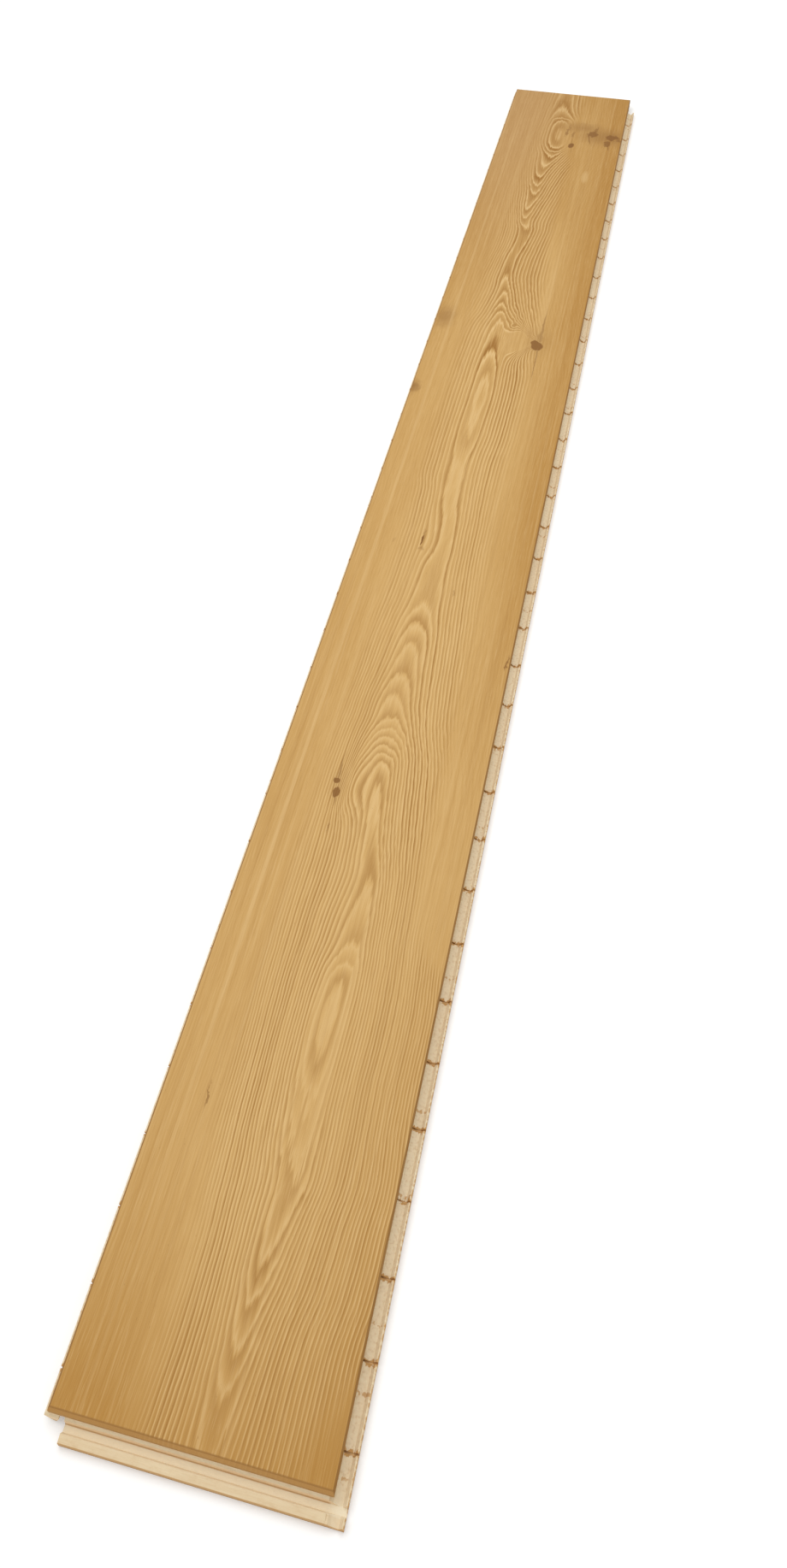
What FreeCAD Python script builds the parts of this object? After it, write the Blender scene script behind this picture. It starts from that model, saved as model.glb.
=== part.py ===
"""Wide three-layer softwood floorboard with a milled locking profile round its edges.

One plank: a wear lamella on top, a core of cross-laid slats with small gaps between
them, and a backing veneer underneath.  It lies flat, with +Y along its length, +X across
it and +Z up.  The origin is the middle of its bounding box, on the underside.

The profiles are drawn in board coordinates: x from the left joint plane, y from the front
joint plane and z from the underside.  The placement of each piece then centres the board.
The long edges are milled to one section and the ends to another, and the board is what
both sections leave standing.
"""
import FreeCAD, Part
import math
import os

import Sketcher

# Every driving size in millimetres, written once.
SIZES = {
    # The laid board, from joint plane to joint plane, and its layers.
    "cover_width": 180.0,
    "cover_length": 1800.0,
    "thickness": 14.0,
    "lamella_thickness": 5.0,
    "backing_thickness": 2.0,
    # Bevels round the walking face.
    "side_bevel": 1.2,
    "end_bevel_run": 2.2,
    "end_bevel_drop": 1.6,
    # Core slats, which lie across the board.
    "slat_pitch": 47.5,
    "slat_gap": 1.2,
    "first_gap_place": 23.5,
    "shortest_slat": 18.0,
    # Tongue along the left edge and the curved nub under it.
    "tongue_reach": 2.4,
    "tongue_top": 8.4,
    "tongue_nose_radius": 1.1,
    "nub_foot_place": 4.7,
    "nub_curve_radius": 13.0,
    # Locking slot in the underside, beside the nub.
    "lock_slot_play": 1.9,
    "lock_slot_shoulder": 6.3,
    # Locking lip along the right edge.
    "side_lip_reach": 9.0,
    "lip_floor": 2.4,
    "side_hook_foot": 5.6,
    "side_hook_top": 6.2,
    "side_hook_width": 1.5,
    "side_hook_chamfer": 0.4,
    # Ledge and locking lip across the front end.
    "ledge_top": 8.4,
    "ledge_drop": 1.0,
    "ledge_reach": 1.5,
    "end_face_foot": 2.2,
    "end_lip_reach": 13.0,
    "end_hook_foot": 6.4,
    "end_hook_lean": 1.4,
    "end_hook_top": 6.7,
    "end_hook_fall": 0.6,
    "end_hook_radius": 0.6,
    # Undercut of the back end, which drops over the next board's lip.
    "end_slot_play": 1.0,
    "corner_relief": 28.0,
    # Gap between the tongue, nub and hooks and what takes them in the next board.
    "joint_clearance": 0.3,
    # Broken lower edge of both lips.
    "lip_edge_break": 0.5,
}

MARGIN = 5.0

ACROSS_VIEW = FreeCAD.Rotation(FreeCAD.Vector(1, 0, 0), 90)
ALONG_VIEW = FreeCAD.Rotation(FreeCAD.Vector(1, 1, 1), 120)


class Size:
    """A length that holds its number and the sheet expression that gives it."""

    def __init__(self, value, text):
        self.value = value
        self.text = text

    def __add__(self, other):
        other = as_size(other)
        return Size(self.value + other.value, f"({self.text} + {other.text})")

    def __sub__(self, other):
        other = as_size(other)
        return Size(self.value - other.value, f"({self.text} - {other.text})")

    def __mul__(self, number):
        return Size(self.value * number, f"({self.text} * {number})")

    def __neg__(self):
        return Size(-self.value, f"(0 - {self.text})")


def as_size(length):
    """Give a plain number as a Size, and a Size as it is."""
    if isinstance(length, Size):
        return length
    return Size(float(length), str(length))


def make_sheet(doc):
    """Write the sizes to a sheet and return each one as a Size bound to its cell."""
    sheet = doc.addObject("Spreadsheet::Sheet", "Sizes")
    sizes = {}
    for row, (name, number) in enumerate(SIZES.items(), start=1):
        sheet.set(f"A{row}", name)
        sheet.set(f"B{row}", str(number))
        sheet.setAlias(f"B{row}", name)
        sizes[name] = Size(number, f"Sizes.{name}")
    doc.recompute()
    return sizes


class Arc:
    """An arc that leads to the next corner of a profile.

    With no radius it is a half round.  It bulges out of the wood, or into it if hollow.
    """

    def __init__(self, radius=None, hollow=False):
        self.radius = radius
        self.hollow = hollow

    def middle(self, start, end):
        """Return the arc's middle point between two corners of an anticlockwise profile."""
        chord = end - start
        half = chord.Length / 2
        rise = half
        if self.radius is not None:
            rise = self.radius.value - math.sqrt(self.radius.value ** 2 - half ** 2)
        outward = FreeCAD.Vector(chord.y, -chord.x, 0).normalize()
        side = -1 if self.hollow else 1
        return (start + end) * 0.5 + outward * rise * side


def draw_profile(doc, name, view, outline):
    """Draw a closed anticlockwise profile whose corners are bound to the sheet.

    The outline lists the corners as pairs of Sizes, with an Arc before a corner that an
    arc leads to.
    """
    sketch = doc.addObject("Sketcher::SketchObject", name)
    sketch.Placement = FreeCAD.Placement(FreeCAD.Vector(), view)
    corners = [step for step in outline if not isinstance(step, Arc)]
    arcs = {}
    for index, step in enumerate(outline):
        if isinstance(step, Arc):
            corner = outline[(index + 1) % len(outline)]
            arcs[corners.index(corner)] = step
    points = [FreeCAD.Vector(across.value, up.value, 0) for across, up in corners]
    ends = []
    rules = []
    bound = {}
    for index, start in enumerate(points):
        following = (index + 1) % len(points)
        end = points[following]
        arc = arcs.get(following)
        if arc is None:
            edge = sketch.addGeometry(Part.LineSegment(start, end))
            ends.append((edge, 1, 2))
            continue
        edge = sketch.addGeometry(Part.Arc(start, arc.middle(start, end), end))
        ends.append((edge, 2, 1) if arc.hollow else (edge, 1, 2))
        if arc.radius is not None:
            bound[len(rules)] = arc.radius
            rules.append(Sketcher.Constraint("Radius", edge, arc.radius.value))
        elif abs(end.x - start.x) < abs(end.y - start.y):
            rules.append(Sketcher.Constraint("Vertical", edge, 1, edge, 3))
        else:
            rules.append(Sketcher.Constraint("Horizontal", edge, 1, edge, 3))
    for index, (across, up) in enumerate(corners):
        edge, first, _ = ends[index]
        previous, _, last = ends[index - 1]
        rules.append(Sketcher.Constraint("Coincident", previous, last, edge, first))
        bound[len(rules)] = across
        rules.append(Sketcher.Constraint("DistanceX", -1, 1, edge, first, across.value))
        bound[len(rules)] = up
        rules.append(Sketcher.Constraint("DistanceY", -1, 1, edge, first, up.value))
    sketch.addConstraint(rules)
    for index, length in bound.items():
        sketch.setExpression(f"Constraints[{index}]", length.text)
    return sketch


def long_edge_section(doc, size):
    """Draw the core across the board: tongue, nub and slot at left, lip at right."""
    width = size["cover_width"]
    gap = size["joint_clearance"]
    core_top = size["thickness"] - size["lamella_thickness"]
    core_foot = size["backing_thickness"]
    nose = size["tongue_nose_radius"]
    nose_place = nose - size["tongue_reach"]
    nose_foot = size["tongue_top"] - nose * 2
    pocket_end = width - size["tongue_reach"] - gap
    floor = size["lip_floor"]
    lip_end = width + size["side_lip_reach"]
    hook_top = size["side_hook_top"]
    chamfer = size["side_hook_chamfer"]
    hook_start = size["side_lip_reach"] - size["side_hook_width"]
    slot_end = size["side_lip_reach"] + size["lock_slot_play"]
    curve = size["nub_curve_radius"]
    zero = Size(0.0, "0")
    outline = [
        (zero, core_top),
        (zero, size["tongue_top"]),
        (nose_place, size["tongue_top"]),
        Arc(),
        (nose_place, nose_foot),
        Arc(curve),
        (size["nub_foot_place"], floor + gap),
        (size["side_hook_foot"] - gap, floor + gap),
        (hook_start - gap, size["lock_slot_shoulder"]),
        Arc(hollow=True),
        (slot_end, size["lock_slot_shoulder"]),
        (slot_end, core_foot),
        (lip_end, core_foot),
        (lip_end, hook_top - chamfer),
        (lip_end - chamfer, hook_top),
        (width + hook_start + chamfer, hook_top),
        (width + hook_start, hook_top - chamfer),
        (width + size["side_hook_foot"], floor),
        (width + size["nub_foot_place"], floor),
        Arc(curve, hollow=True),
        (width + nose_place, nose_foot - gap),
        (pocket_end, nose_foot - gap),
        (pocket_end, size["tongue_top"] + gap),
        (width, size["tongue_top"] + gap),
        (width, core_top),
    ]
    return draw_profile(doc, "long_edge_section", ACROSS_VIEW, outline)


def end_section(doc, size):
    """Draw the core along the board: ledge, lip and hook in front, undercut at the back."""
    length = size["cover_length"]
    gap = size["joint_clearance"]
    core_top = size["thickness"] - size["lamella_thickness"]
    core_foot = size["backing_thickness"]
    floor = size["lip_floor"]
    lip_end = size["end_lip_reach"]
    ledge_nose = size["ledge_top"] - size["ledge_drop"]
    hook_start = size["end_hook_foot"] + size["end_hook_lean"]
    hook_end = size["end_hook_top"] - size["end_hook_fall"]
    rounding = size["end_hook_radius"]
    slot_end = length - lip_end - size["end_slot_play"]
    slot_roof = size["end_hook_top"] + gap
    zero = Size(0.0, "0")
    outline = [
        (zero, core_top),
        (zero, size["ledge_top"]),
        (-size["ledge_reach"], ledge_nose),
        (-size["end_face_foot"], floor),
        (-size["end_hook_foot"], floor),
        (-hook_start, size["end_hook_top"]),
        (rounding - lip_end, hook_end),
        Arc(rounding),
        (-lip_end, hook_end - rounding),
        (-lip_end, core_foot),
        (slot_end, core_foot),
        (slot_end, slot_roof),
        (length - hook_start + gap, slot_roof),
        (length - size["end_hook_foot"] + gap, floor + gap),
        (length - size["end_face_foot"] - gap, floor + gap),
        (length - size["ledge_reach"] - gap, ledge_nose + gap),
        (length, size["ledge_top"] + gap),
        (length, core_top),
    ]
    return draw_profile(doc, "end_section", ALONG_VIEW, outline)


def extrude(doc, name, sketch, direction, start, reach):
    """Extrude a section along X or Y from a start place over a reach."""
    solid = doc.addObject("Part::Extrusion", name)
    solid.Base = sketch
    solid.DirMode = "Custom"
    solid.Dir = direction
    solid.Solid = True
    solid.setExpression("LengthFwd", reach.text)
    axis = "x" if direction.x else "y"
    solid.setExpression(f".Placement.Base.{axis}", start.text)
    return solid


def box(doc, name, low, high):
    """Make a box between two corners given as Sizes."""
    block = doc.addObject("Part::Box", name)
    for side, axis, start, end in zip(("Length", "Width", "Height"), "xyz", low, high):
        block.setExpression(side, (end - start).text)
        block.setExpression(f".Placement.Base.{axis}", start.text)
    return block


def combine(doc, kind, name, base, tool):
    """Make a Part::Common or Part::Cut of two objects."""
    result = doc.addObject(kind, name)
    result.Base = base
    result.Tool = tool
    return result


def centre(piece, size, start=None):
    """Move a piece from board coordinates to the frame of the finished board."""
    half_reach = (size["cover_width"] + size["side_lip_reach"] - size["tongue_reach"]) * 0.5
    half_run = (size["cover_length"] - size["end_lip_reach"]) * 0.5
    along = -half_run if start is None else start - half_run
    piece.setExpression(".Placement.Base.x", (-half_reach).text)
    piece.setExpression(".Placement.Base.y", along.text)
    return piece


def make_lamella(doc, size):
    """Make the top layer: a flat board with a bevel round its walking face."""
    width = size["cover_width"]
    length = size["cover_length"]
    top = size["thickness"]
    foot = top - size["lamella_thickness"]
    zero = Size(0.0, "0")
    side = size["side_bevel"]
    run = size["end_bevel_run"]
    drop = size["end_bevel_drop"]
    across = [
        (zero, foot),
        (width, foot),
        (width, top - side),
        (width - side, top),
        (side, top),
        (zero, top - side),
    ]
    along = [
        (zero, foot),
        (length, foot),
        (length, top - drop),
        (length - run, top),
        (run, top),
        (zero, top - drop),
    ]
    across_sketch = draw_profile(doc, "lamella_across", ACROSS_VIEW, across)
    along_sketch = draw_profile(doc, "lamella_along", ALONG_VIEW, along)
    ripped = extrude(doc, "lamella_ripped", across_sketch, FreeCAD.Vector(0, 1, 0), zero, length)
    docked = extrude(doc, "lamella_docked", along_sketch, FreeCAD.Vector(1, 0, 0), zero, width)
    return centre(combine(doc, "Part::Common", "wear_lamella", ripped, docked), size)


def make_backing(doc, size, relief):
    """Make the backing veneer, which also forms the underside of both lips."""
    width = size["cover_width"]
    length = size["cover_length"]
    top = size["backing_thickness"]
    ease = size["lip_edge_break"]
    left = size["side_lip_reach"] + size["lock_slot_play"]
    right = width + size["side_lip_reach"]
    front = -size["end_lip_reach"]
    back = length - size["end_lip_reach"] - size["end_slot_play"]
    zero = Size(0.0, "0")
    across = [(left, top), (left, zero), (right - ease, zero), (right, ease), (right, top)]
    along = [(front, top), (front, ease), (front + ease, zero), (back, zero), (back, top)]
    across_sketch = draw_profile(doc, "backing_across", ACROSS_VIEW, across)
    along_sketch = draw_profile(doc, "backing_along", ALONG_VIEW, along)
    run = back - front
    ripped = extrude(doc, "backing_ripped", across_sketch, FreeCAD.Vector(0, 1, 0), front, run)
    docked = extrude(doc, "backing_docked", along_sketch, FreeCAD.Vector(1, 0, 0), zero, right)
    sheet = combine(doc, "Part::Common", "backing_sheet", ripped, docked)
    return centre(combine(doc, "Part::Cut", "backing_veneer", sheet, relief), size)


def make_relief(doc, size):
    """Make the block that is milled off the side lip at the back right corner."""
    width = size["cover_width"]
    length = size["cover_length"]
    low = (width, length - size["corner_relief"], Size(-MARGIN, str(-MARGIN)))
    high = (width + size["side_lip_reach"] + MARGIN, length + MARGIN, size["thickness"])
    return box(doc, "corner_relief_block", low, high)


def make_end_notches(doc, size):
    """Make the two blocks that free the nub at the front left corner.

    The front lip stops at the locking slot, and the slot runs out through the ledge.
    """
    slot_start = size["side_lip_reach"] - size["side_hook_width"] - size["joint_clearance"]
    slot_end = size["side_lip_reach"] + size["lock_slot_play"]
    low = Size(-MARGIN, str(-MARGIN))
    front = -size["end_lip_reach"] - MARGIN
    core_top = size["thickness"] - size["lamella_thickness"]
    foot = -size["end_face_foot"]
    zero = Size(0.0, "0")
    outer = box(doc, "lip_stop_block", (low, front, low), (slot_end, foot, core_top))
    inner = box(doc, "slot_run_out_block", (slot_start, front, low), (slot_end, zero, core_top))
    return combine(doc, "Part::Fuse", "front_corner_blocks", outer, inner)


def slat_gaps(size):
    """Return the middle of each gap between slats, from the front to the back."""
    last = size["cover_length"] - size["shortest_slat"]
    gaps = []
    place = size["first_gap_place"]
    while place.value <= last.value:
        gaps.append(place)
        place = size["first_gap_place"] + size["slat_pitch"] * len(gaps)
    return gaps


def make_slats(doc, size, relief):
    """Make the core slats, front to back, with a gap between each and the next."""
    section = long_edge_section(doc, size)
    ends = end_section(doc, size)
    notches = make_end_notches(doc, size)
    along = FreeCAD.Vector(0, 1, 0)
    reach = size["tongue_reach"]
    across_reach = size["cover_width"] + size["side_lip_reach"] + reach
    end_shape = extrude(doc, "end_milling", ends, FreeCAD.Vector(1, 0, 0), -reach, across_reach)
    half_gap = size["slat_gap"] * 0.5
    gaps = slat_gaps(size)
    starts = [-size["end_lip_reach"]] + [place + half_gap for place in gaps]
    ends_at = [place - half_gap for place in gaps] + [size["cover_length"]]
    milled_from = size["cover_length"] - size["corner_relief"]
    slats = []
    for number, (start, end) in enumerate(zip(starts, ends_at), start=1):
        name = f"core_slat_{number:02d}"
        if number > 1 and end.value <= milled_from.value:
            slat = extrude(doc, name, section, along, start, end - start)
            slats.append(centre(slat, size, start))
            continue
        ripped = extrude(doc, f"{name}_ripped", section, along, start, end - start)
        milled = combine(doc, "Part::Common", f"{name}_milled", ripped, end_shape)
        tool = notches if number == 1 else relief
        slats.append(centre(combine(doc, "Part::Cut", name, milled, tool), size))
    return slats


def check_document(doc, pieces):
    """Stop if any object failed or any piece is not one valid solid."""
    for item in doc.Objects:
        if "Invalid" in item.State or "Error" in item.State:
            raise RuntimeError(f"{item.Name} failed: {item.State}")
    for piece in pieces:
        if piece.Shape.isNull() or not piece.Shape.isValid():
            raise RuntimeError(f"{piece.Name} has no valid shape")
        if len(piece.Shape.Solids) != 1:
            raise RuntimeError(f"{piece.Name} has {len(piece.Shape.Solids)} solids")


def main():
    """Build the board and write one STEP file for each piece."""
    doc = FreeCAD.newDocument("floorboard")
    size = make_sheet(doc)
    relief = make_relief(doc, size)
    pieces = [make_lamella(doc, size), make_backing(doc, size, relief)]
    pieces += make_slats(doc, size, relief)
    for piece in pieces:
        piece.Label = piece.Name
    doc.recompute()
    check_document(doc, pieces)
    os.makedirs("parts", exist_ok=True)
    for piece in pieces:
        piece.Shape.exportStep(f"parts/{piece.Label}.step")
        bounds = piece.Shape.BoundBox
        print(f"{piece.Label}: {piece.Shape.Volume:.0f} mm3, x {bounds.XMin:.2f} {bounds.XMax:.2f},"
              f" y {bounds.YMin:.2f} {bounds.YMax:.2f}, z {bounds.ZMin:.2f} {bounds.ZMax:.2f}")


main()
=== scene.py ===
"""Looks of a wide three-layer softwood floorboard that lies flat on a pale floor.

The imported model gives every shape.  This script dresses it: a honey-stained lamella with a
flame figure and knots, pale cross-laid core slats and a bare backing veneer.
"""
import logging
import math
from dataclasses import dataclass
from enum import Enum
from functools import reduce

import bpy
from mathutils import Matrix, Vector


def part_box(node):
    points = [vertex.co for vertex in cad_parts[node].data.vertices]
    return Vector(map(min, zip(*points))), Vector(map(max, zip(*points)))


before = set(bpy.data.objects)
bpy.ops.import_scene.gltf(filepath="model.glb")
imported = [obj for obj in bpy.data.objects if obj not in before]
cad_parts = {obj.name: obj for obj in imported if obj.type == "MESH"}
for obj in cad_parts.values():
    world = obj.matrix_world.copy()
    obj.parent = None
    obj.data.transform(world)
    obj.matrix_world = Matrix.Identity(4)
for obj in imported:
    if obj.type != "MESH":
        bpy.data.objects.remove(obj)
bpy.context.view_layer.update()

log = logging.getLogger("floorboard")

MM = 0.001
IMAGE_SIZE = (920, 1834)
WHITE = (1.0, 1.0, 1.0, 1.0)
BARE_WOOD_SPECULAR = 0.22
NOISE_MEAN = 0.5

# Shares of the way from one growth ring to the next, and of a ring's strength.
FAINTEST_RING = 0.35
EARLY_START = 0.62
EARLY_FULL = 0.9

# Shares of a flaw's reach, squared for the pale marks, and of a spike's width and length.
WIDEST_FADE = 0.9
PALE_FADE = (0.1, 2.0)
SPIKE_TIP = 0.2
SPIKE_RIM = (0.3, 1.4)
SPIKE_BACK = -0.05
SPIKE_FADE = (0.45, 1.0)

Point = tuple[float, float]
Curve = tuple[Point, ...]
# Where a band starts, is full, starts to fade and ends.
Band = tuple[float, float, float, float]
# Where a ramp starts and ends, and its low and high output.
Ramp = tuple[float, float, float, float]
Socket = bpy.types.NodeSocket
Color = tuple[float, float, float, float]


def tone(red: float, green: float, blue: float) -> Color:
    """Turn a colour as seen on screen, 0 to 255, into linear light.

    Args:
        red: Red on screen.
        green: Green on screen.
        blue: Blue on screen.

    Returns:
        The linear colour with full alpha.
    """
    linear = []
    for part in (red, green, blue):
        level = part / 255.0
        linear.append(level / 12.92 if level <= 0.04045 else ((level + 0.055) / 1.055) ** 2.4)
    return (linear[0], linear[1], linear[2], 1.0)


@dataclass(frozen=True)
class Board:
    """The board's main planes in millimetres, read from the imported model.

    Board places are measured across from the left joint plane and along from the front one.
    """

    left: float
    front: float
    width: float
    length: float
    top: float

    @classmethod
    def from_frame(cls) -> "Board":
        """Read the planes from the box of the wear lamella.

        Returns:
            The board's planes.
        """
        low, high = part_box("wear_lamella")
        size = high - low
        return cls(low.x / MM, low.y / MM, size.x / MM, size.y / MM, high.z / MM)


@dataclass(frozen=True)
class Wash:
    """A tone that is laid on as a value goes from a start to an end, up to a strength."""

    start: float
    end: float
    strength: float
    tone: Color


class Graph:
    """A node tree with short ways to add the nodes that the finishes use."""

    def __init__(self, tree: bpy.types.NodeTree) -> None:
        """Keep the tree to draw in."""
        self.tree = tree

    def add(self, kind: str, *values: object, **settings: object) -> bpy.types.Node:
        """Add a node, set its plain settings and feed its first inputs.

        Args:
            kind: The node's type name, without the leading ShaderNode.
            values: Sockets or numbers for its inputs, in order.
            settings: Attributes to set on the node.

        Returns:
            The new node.
        """
        node = self.tree.nodes.new(kind if kind.startswith("Node") else f"ShaderNode{kind}")
        for name, value in settings.items():
            setattr(node, name, value)
        for target, value in zip(node.inputs, values):
            self.feed(target, value)
        return node

    def feed(self, target: Socket, value: object) -> None:
        """Link a socket to a target, or set a plain value on it.

        Args:
            target: The input to feed.
            value: A socket, a number or a colour.
        """
        if isinstance(value, bpy.types.NodeSocket):
            self.tree.links.new(value, target)
        else:
            target.default_value = value

    def math(self, operation: str, *values: object, clamp: bool = False) -> Socket:
        """Add a Math node, held between 0 and 1 where that is asked."""
        return self.add("Math", *values, operation=operation, use_clamp=clamp).outputs[0]

    def total(self, *values: object) -> Socket:
        """Add up sockets and numbers."""
        return reduce(lambda result, value: self.math("ADD", result, value), values)

    def product(self, *values: object) -> Socket:
        """Multiply sockets and numbers."""
        return reduce(lambda result, value: self.math("MULTIPLY", result, value), values)

    def less(self, value: object, taken: object) -> Socket:
        """Take one socket or number from another."""
        return self.math("SUBTRACT", value, taken)

    def apart(self, value: object, other: object) -> Socket:
        """Say how far apart two sockets or numbers are."""
        return self.math("ABSOLUTE", self.less(value, other))

    def ramp(self, value: object, start: object, end: object, low: object = 0.0,
             high: object = 1.0, smooth: bool = True) -> Socket:
        """Map a value from one range to another, with a smooth step or a straight one.

        Args:
            value: The value to map.
            start: Where the output is low.
            end: Where the output is high.
            low: Output at the start.
            high: Output at the end.
            smooth: Whether the step is smooth.

        Returns:
            The result socket.
        """
        kind = "SMOOTHSTEP" if smooth else "LINEAR"
        node = self.add("MapRange", value, start, end, low, high, interpolation_type=kind, clamp=True)
        return node.outputs[0]

    def sway(self, value: Socket, reach: float) -> Socket:
        """Turn a value from 0 to 1 into one from minus a reach to plus it."""
        return self.ramp(value, 0.0, 1.0, -reach, reach, smooth=False)

    def band(self, value: object, edges: tuple[object, object, object, object]) -> Socket:
        """Say where a value lies inside a band with soft edges.

        Args:
            value: The value.
            edges: Where the band starts, is full, starts to fade and ends.

        Returns:
            The result socket, from 0 to 1.
        """
        start, full, fade, end = edges
        return self.product(self.ramp(value, start, full), self.ramp(value, end, fade))

    def mix(self, factor: object, first: object, second: object) -> Socket:
        """Mix two colours.

        Args:
            factor: How much of the second colour.
            first: The first colour.
            second: The second colour.

        Returns:
            The result colour socket.
        """
        node = self.add("Mix", factor, data_type="RGBA")
        color_inputs = [socket for socket in node.inputs if socket.type == "RGBA"]
        self.feed(color_inputs[0], first)
        self.feed(color_inputs[1], second)
        return next(socket for socket in node.outputs if socket.type == "RGBA")

    def wash(self, color: object, value: Socket, wash: Wash, place: object = 1.0) -> Socket:
        """Lay a wash over a colour.

        Args:
            color: The colour under it.
            value: The value that the wash follows.
            wash: The wash.
            place: Where it is laid, from 0 to 1.

        Returns:
            The result colour socket.
        """
        share = self.ramp(value, wash.start, wash.end, 0.0, wash.strength)
        return self.mix(self.product(share, place), color, wash.tone)

    def split(self, vector: Socket) -> tuple[Socket, ...]:
        """Split a vector into its three parts."""
        return tuple(self.add("SeparateXYZ", vector).outputs)

    def join(self, across: object, along: object, up: object = 0.0) -> Socket:
        """Join three values into a vector."""
        return self.add("CombineXYZ", across, along, up).outputs[0]

    def noise(self, vector: Socket, detail: float, roughness: float) -> Socket:
        """Add a noise texture.

        Args:
            vector: Where to read it, in waves.
            detail: How many finer layers it has.
            roughness: How strong the finer layers are.

        Returns:
            The noise, about 0.5 on average.
        """
        node = self.add("TexNoise", vector, noise_dimensions="3D")
        for name, value in (("Scale", 1.0), ("Detail", detail), ("Roughness", roughness)):
            self.feed(node.inputs[name], value)
        return node.outputs["Fac"]

    def random(self, value: Socket) -> Socket:
        """Give a fixed random number between 0 and 1 for each value.

        Args:
            value: The value.

        Returns:
            The number's socket.
        """
        node = self.add("TexWhiteNoise", noise_dimensions="1D")
        self.feed(node.inputs["W"], value)
        return node.outputs["Value"]

    def curve(self, value: Socket, points: Curve, span: float, reach: float) -> Socket:
        """Read a smooth curve through points.

        Args:
            value: The place along the curve, in the points' units.
            points: Places and heights, in order.
            span: The largest place.
            reach: The largest height.

        Returns:
            The height socket, in the points' units.
        """
        node = self.add("FloatCurve")
        line = node.mapping.curves[0]
        ready = len(line.points)
        for index, (place, height) in enumerate(points):
            spot = (place / span, height / reach)
            if index < ready:
                line.points[index].location = spot
            else:
                line.points.new(*spot)
        for knot in line.points:
            knot.handle_type = "AUTO_CLAMPED"
        node.mapping.update()
        self.feed(node.inputs["Value"], self.math("DIVIDE", value, span))
        return self.product(node.outputs[0], reach)

    def group(self, tree: bpy.types.NodeTree, **values: object) -> bpy.types.Node:
        """Place a node group and feed its named inputs.

        Args:
            tree: The group's tree.
            values: Inputs by name.

        Returns:
            The group node.
        """
        node = self.add("Group", node_tree=tree)
        for name, value in values.items():
            self.feed(node.inputs[name], value)
        return node


class GroupDraft(Graph):
    """A new node group with named inputs and outputs."""

    def __init__(self, name: str, inputs: dict[str, float], outputs: tuple[str, ...]) -> None:
        """Make the tree and its sockets.

        Args:
            name: The group's name.
            inputs: Input names and their usual values.
            outputs: Output names.
        """
        super().__init__(bpy.data.node_groups.new(name, "ShaderNodeTree"))
        face = self.tree.interface
        for label, value in inputs.items():
            socket = face.new_socket(label, in_out="INPUT", socket_type="NodeSocketFloat")
            socket.default_value = value
        for label in outputs:
            face.new_socket(label, in_out="OUTPUT", socket_type="NodeSocketFloat")
        self.given = self.add("NodeGroupInput").outputs
        self.result = self.add("NodeGroupOutput").inputs


@dataclass(frozen=True)
class Effects:
    """The node groups that several finishes share."""

    place: bpy.types.NodeTree
    fibre: bpy.types.NodeTree
    rings: bpy.types.NodeTree

    @classmethod
    def build(cls, board: Board) -> "Effects":
        """Build each group once."""
        return cls(cls.make_place(board), cls.make_fibre(), cls.make_rings())

    @staticmethod
    def make_place(board: Board) -> bpy.types.NodeTree:
        """Make the group that gives a point's place on the board, in millimetres.

        Args:
            board: The board's planes.

        Returns:
            The group's tree.
        """
        names = ("Across", "Along", "Up")
        draft = GroupDraft("board_place", {}, names)
        parts = draft.split(draft.add("TexCoord").outputs["Object"])
        for name, part, start in zip(names, parts, (board.left, board.front, 0.0)):
            draft.feed(draft.result[name], draft.math("MULTIPLY_ADD", part, 1 / MM, -start))
        return draft.tree

    @staticmethod
    def make_fibre() -> bpy.types.NodeTree:
        """Make the group that gives long thin streaks of fibre along the grain.

        Returns:
            The group's tree.
        """
        inputs = {"Across": 0.0, "Grain": 0.0, "Up": 0.0, "Width": 1.0, "Length": 60.0, "Seed": 0.0}
        draft = GroupDraft("fibre_streaks", inputs, ("Streak",))
        given = draft.given
        across = draft.math("DIVIDE", given["Across"], given["Width"])
        grain = draft.math("DIVIDE", given["Grain"], given["Length"])
        up = draft.math("DIVIDE", given["Up"], given["Width"])
        spot = draft.join(across, draft.total(grain, given["Seed"]), up)
        draft.feed(draft.result["Streak"], draft.noise(spot, detail=3.0, roughness=0.6))
        return draft.tree

    @staticmethod
    def make_rings() -> bpy.types.NodeTree:
        """Make the group that turns a ring count into late wood and early wood.

        Late wood starts sharply at each whole number and fades out before the next.

        Returns:
            The group's tree.
        """
        inputs = {"Count": 0.0, "Onset": 0.14, "Fade": 0.75}
        draft = GroupDraft("growth_rings", inputs, ("Late", "Early"))
        count, onset, fade = (draft.given[name] for name in inputs)
        phase = draft.math("FRACT", count)
        lot = draft.random(draft.math("FLOOR", count))
        strength = draft.ramp(lot, 0.0, 1.0, FAINTEST_RING, 1.0, smooth=False)
        late = draft.band(phase, (0.0, onset, onset, fade))
        draft.feed(draft.result["Late"], draft.product(late, strength))
        early = draft.band(phase, (EARLY_START, EARLY_FULL, EARLY_FULL, 1.0))
        draft.feed(draft.result["Early"], early)
        return draft.tree


@dataclass(frozen=True)
class Spot:
    """A shaded point's place on the board, in millimetres."""

    across: Socket
    along: Socket
    up: Socket

    @classmethod
    def find(cls, graph: Graph, effects: Effects) -> "Spot":
        """Place the shared group that gives the point's place."""
        return cls(*graph.group(effects.place).outputs)


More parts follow.
